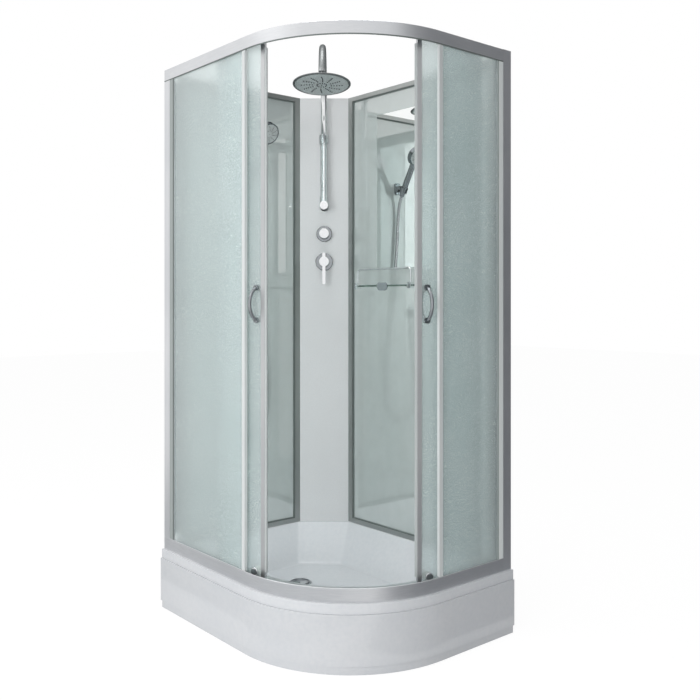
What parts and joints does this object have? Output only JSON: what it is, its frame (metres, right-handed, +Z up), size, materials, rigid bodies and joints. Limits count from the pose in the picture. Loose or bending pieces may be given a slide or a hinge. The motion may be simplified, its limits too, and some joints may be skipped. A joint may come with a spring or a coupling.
{
  "type": "shower cabin",
  "caption": "Quadrant shower cabin with a deep tray, curved sliding glass doors, framed back walls, corner column with mixer, rain shower arm, hand shower and glass shelf.",
  "frame": {"origin": "middle of the footprint on the floor", "axes": "+Z up; the wall at the back of -X and the wall at +Y meet at the corner column; the rounded entrance faces +X and -Y"},
  "size_m": [1, 0.8, 2.129],
  "materials": {
    "satin_aluminium": "satin anodised",
    "chrome": "bright chrome",
    "white_acrylic": "gloss white acrylic",
    "frosted_glass": "frosted pale green glass",
    "grey_glass": "satin grey glass with a mirror-like upper part",
    "clear_glass": "clear glass",
    "grey_panel": "satin pale grey",
    "dark_rubber": "matt dark grey",
    "pale_vinyl": "translucent pale grey",
    "white_nylon": "plain nylon",
    "painted_steel": "grey paint",
    "grey_plastic": "plain grey",
    "brass": "raw brass"
  },
  "bodies": {
    "root": {"top_rail": "satin_aluminium", "bottom_rail": "satin_aluminium", "left_wall_profile": "satin_aluminium", "right_wall_profile": "satin_aluminium", "end_strips": "satin_aluminium", "left_wall_frame": "satin_aluminium", "right_wall_frame": "satin_aluminium", "riser_elbow": "chrome", "riser_tube": "chrome", "valve_rosettes": "chrome", "handset_bracket": "chrome", "shower_hose": "chrome", "hose_outlet": "chrome", "shelf_gallery": "chrome", "shelf_clip": "chrome", "drain_flange": "chrome", "tray": "white_acrylic", "apron": "white_acrylic", "left_fixed_glass": "frosted_glass", "right_fixed_glass": "frosted_glass", "left_wall_glass": "grey_glass", "right_wall_glass": "grey_glass", "shelf_plate": "clear_glass", "corner_column": "grey_panel", "wall_gaskets": "dark_rubber", "tray_frame": "painted_steel", "leveling_feet": "grey_plastic", "drain_body": "grey_plastic", "mixer_body": "brass", "diverter_body": "brass", "supply_pipes": "brass"},
    "left_door": {"left_door_glass": "frosted_glass", "left_door_post": "satin_aluminium", "left_magnet_seal": "pale_vinyl", "left_handles": "chrome", "left_roller_axles": "chrome"},
    "right_door": {"right_door_glass": "frosted_glass", "right_door_post": "satin_aluminium", "right_magnet_seal": "pale_vinyl", "right_handles": "chrome", "right_roller_axles": "chrome"},
    "left_top_front_wheel": {"left_top_front_wheel": "white_nylon"},
    "left_top_rear_wheel": {"left_top_rear_wheel": "white_nylon"},
    "left_bottom_front_wheel": {"left_bottom_front_wheel": "white_nylon"},
    "left_bottom_rear_wheel": {"left_bottom_rear_wheel": "white_nylon"},
    "right_top_front_wheel": {"right_top_front_wheel": "white_nylon"},
    "right_top_rear_wheel": {"right_top_rear_wheel": "white_nylon"},
    "right_bottom_front_wheel": {"right_bottom_front_wheel": "white_nylon"},
    "right_bottom_rear_wheel": {"right_bottom_rear_wheel": "white_nylon"},
    "mixer_cap": {"mixer_cap": "chrome"},
    "mixer_lever": {"mixer_lever": "chrome"},
    "diverter_knob": {"diverter_knob": "chrome"},
    "riser_collar": {"riser_collar": "chrome"},
    "slide_bush": {"slide_bush": "grey_plastic"},
    "cane_arm": {"cane_arm": "chrome"},
    "rain_head": {"ball_nut": "chrome", "rain_head": "chrome", "spray_face": "grey_plastic"},
    "handset": {"handset": "chrome"},
    "drain_cover": {"drain_cover": "chrome"}
  },
  "joints": [
    {"name": "left_door_slide", "type": "hinge", "parent": "root", "child": "left_door", "pos_m": [-0.02, 0.25, 1.1], "axis": [0, 0, 1], "range_deg": [0, 24.8]},
    {"name": "right_door_slide", "type": "hinge", "parent": "root", "child": "right_door", "pos_m": [-0.15, 0.12, 1.1], "axis": [0, 0, 1], "range_deg": [-23.4, 1.4]},
    {"name": "left_top_front_wheel_roll", "type": "hinge", "parent": "left_door", "child": "left_top_front_wheel", "pos_m": [0.04994, -0.33981, 1.9696], "axis": [-0.2318, 0.9728, 0], "continuous": true},
    {"name": "left_top_rear_wheel_roll", "type": "hinge", "parent": "left_door", "child": "left_top_rear_wheel", "pos_m": [-0.16456, -0.33008, 1.9696], "axis": [0.3189, 0.9478, 0], "continuous": true},
    {"name": "left_bottom_front_wheel_roll", "type": "hinge", "parent": "left_door", "child": "left_bottom_front_wheel", "pos_m": [0.04994, -0.33981, 0.258], "axis": [-0.2318, 0.9728, 0], "continuous": true},
    {"name": "left_bottom_rear_wheel_roll", "type": "hinge", "parent": "left_door", "child": "left_bottom_rear_wheel", "pos_m": [-0.16456, -0.33008, 0.258], "axis": [0.3189, 0.9478, 0], "continuous": true},
    {"name": "right_top_front_wheel_roll", "type": "hinge", "parent": "right_door", "child": "right_top_front_wheel", "pos_m": [0.43793, 0.03573, 1.9696], "axis": [-0.9668, 0.2554, 0], "continuous": true},
    {"name": "right_top_rear_wheel_roll", "type": "hinge", "parent": "right_door", "child": "right_top_rear_wheel", "pos_m": [0.43342, 0.2504, 1.9696], "axis": [-0.9553, -0.2958, 0], "continuous": true},
    {"name": "right_bottom_front_wheel_roll", "type": "hinge", "parent": "right_door", "child": "right_bottom_front_wheel", "pos_m": [0.43793, 0.03573, 0.258], "axis": [-0.9668, 0.2554, 0], "continuous": true},
    {"name": "right_bottom_rear_wheel_roll", "type": "hinge", "parent": "right_door", "child": "right_bottom_rear_wheel", "pos_m": [0.43342, 0.2504, 0.258], "axis": [-0.9553, -0.2958, 0], "continuous": true},
    {"name": "mixer_turn", "type": "hinge", "parent": "root", "child": "mixer_cap", "pos_m": [-0.41115, 0.30015, 1.291], "axis": [0.7645, -0.6446, 0], "range_deg": [-50, 50]},
    {"name": "mixer_tilt", "type": "hinge", "parent": "mixer_cap", "child": "mixer_lever", "pos_m": [-0.39839, 0.28939, 1.291], "axis": [-0.6446, -0.7645, 0], "range_deg": [0, 20]},
    {"name": "diverter_turn", "type": "hinge", "parent": "root", "child": "diverter_knob", "pos_m": [-0.41115, 0.30015, 1.407], "axis": [0.7645, -0.6446, 0], "range_deg": [-90, 90]},
    {"name": "collar_turn", "type": "hinge", "parent": "root", "child": "riser_collar", "pos_m": [-0.38539, 0.27843, 1.771], "axis": [0, 0, 1], "range_deg": [0, 90]},
    {"name": "arm_height", "type": "slide", "parent": "root", "child": "slide_bush", "axis": [0, 0, 1], "range_m": [-0.035, 0.1]},
    {"name": "arm_swivel", "type": "hinge", "parent": "slide_bush", "child": "cane_arm", "pos_m": [-0.38539, 0.27843, 1.6], "axis": [0, 0, 1], "range_deg": [-30, 30]},
    {"name": "head_tilt", "type": "hinge", "parent": "cane_arm", "child": "rain_head", "pos_m": [-0.15197, 0.08162, 1.97403], "axis": [0.6446, 0.7645, 0], "range_deg": [-15, 15]},
    {"name": "handset_lift", "type": "slide", "parent": "root", "child": "handset", "axis": [0.4772, 0, 0.8788], "range_m": [0, 0.06], "deforming": ["shower_hose"]},
    {"name": "cover_lift", "type": "slide", "parent": "root", "child": "drain_cover", "axis": [0, 0, 1], "range_m": [0, 0.025]}
  ],
  "couplings": [
    {"joint": "left_top_front_wheel_roll", "follows": "left_door_slide", "ratio": -62.101},
    {"joint": "left_top_rear_wheel_roll", "follows": "left_door_slide", "ratio": -62.725},
    {"joint": "left_bottom_front_wheel_roll", "follows": "left_door_slide", "ratio": 42.14},
    {"joint": "left_bottom_rear_wheel_roll", "follows": "left_door_slide", "ratio": 42.564},
    {"joint": "right_top_front_wheel_roll", "follows": "right_door_slide", "ratio": -62.101},
    {"joint": "right_top_rear_wheel_roll", "follows": "right_door_slide", "ratio": -62.725},
    {"joint": "right_bottom_front_wheel_roll", "follows": "right_door_slide", "ratio": 42.14},
    {"joint": "right_bottom_rear_wheel_roll", "follows": "right_door_slide", "ratio": 42.564}
  ]
}
